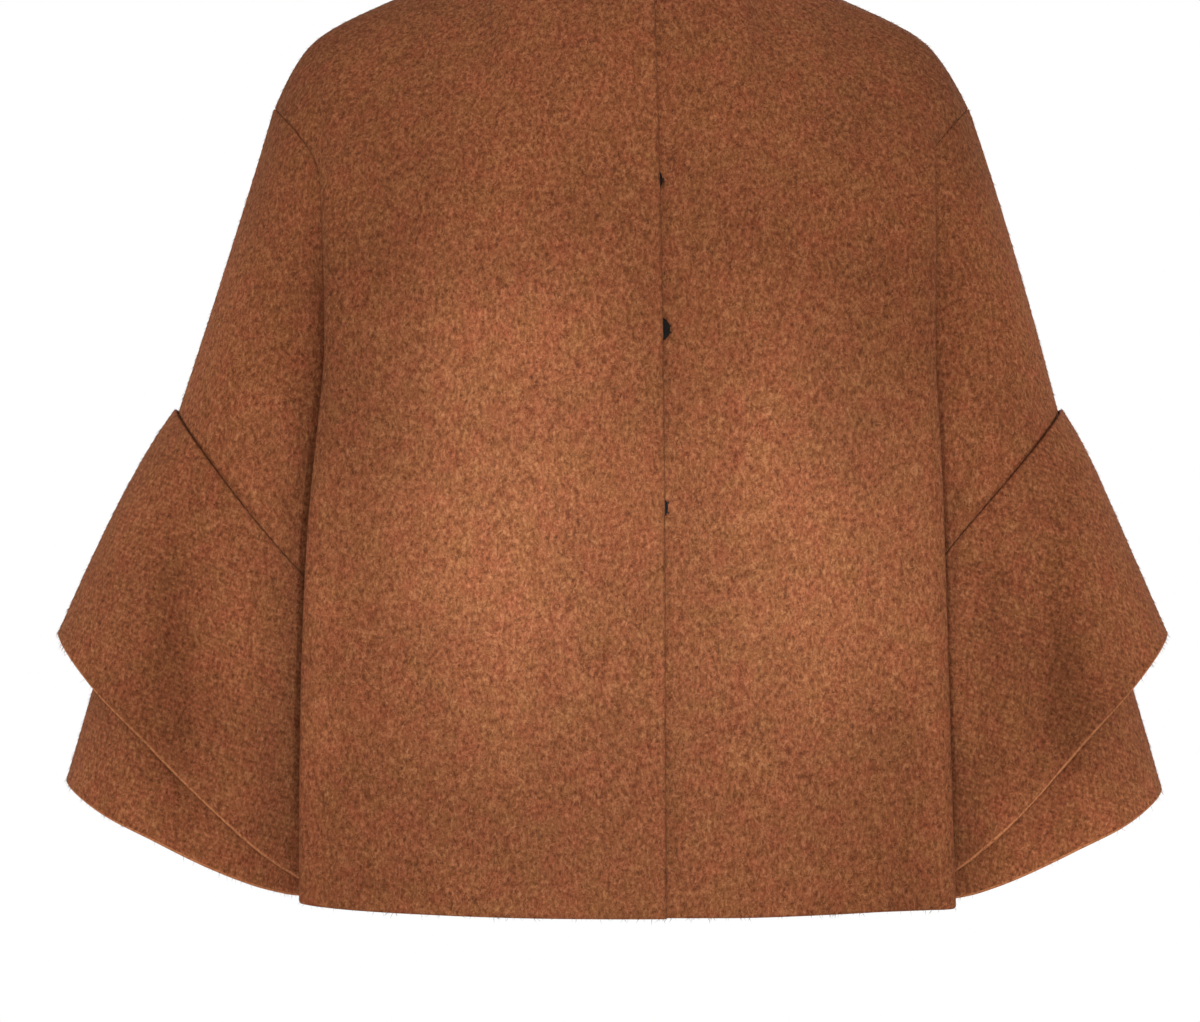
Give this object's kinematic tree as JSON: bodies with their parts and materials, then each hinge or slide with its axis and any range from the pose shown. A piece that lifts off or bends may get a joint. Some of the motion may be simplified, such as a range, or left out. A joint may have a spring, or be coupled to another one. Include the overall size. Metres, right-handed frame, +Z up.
{
  "type": "spencer jacket",
  "caption": "Short boxy wool spencer jacket, worn shape with no wearer: hollow body, dropped sleeves, two-layer bell cuffs, hidden press-stud closing at the front.",
  "frame": {"origin": "middle of the neck opening, level with the highest points of the shoulders, where a wearer's neck and shoulders hold the jacket", "axes": "+X across the jacket towards the wearer's left sleeve, -Y out of the front, +Z up"},
  "size_m": [0.665, 0.223, 0.569],
  "materials": {
    "wool_cloth": "matt brushed rust-brown wool melange with a short nap",
    "stud_metal": "black lacquered press studs, half gloss"
  },
  "bodies": {
    "root": {"front_right": "wool_cloth", "front_left": "wool_cloth", "back": "wool_cloth", "sleeve_right": "wool_cloth", "sleeve_left": "wool_cloth", "flounce_right": "wool_cloth", "flounce_left": "wool_cloth", "under_flounce_right": "wool_cloth", "under_flounce_left": "wool_cloth", "stud_ball_1": "stud_metal", "stud_ball_2": "stud_metal", "stud_ball_3": "stud_metal", "stud_socket_1": "stud_metal", "stud_socket_2": "stud_metal", "stud_socket_3": "stud_metal"}
  },
  "joints": []
}
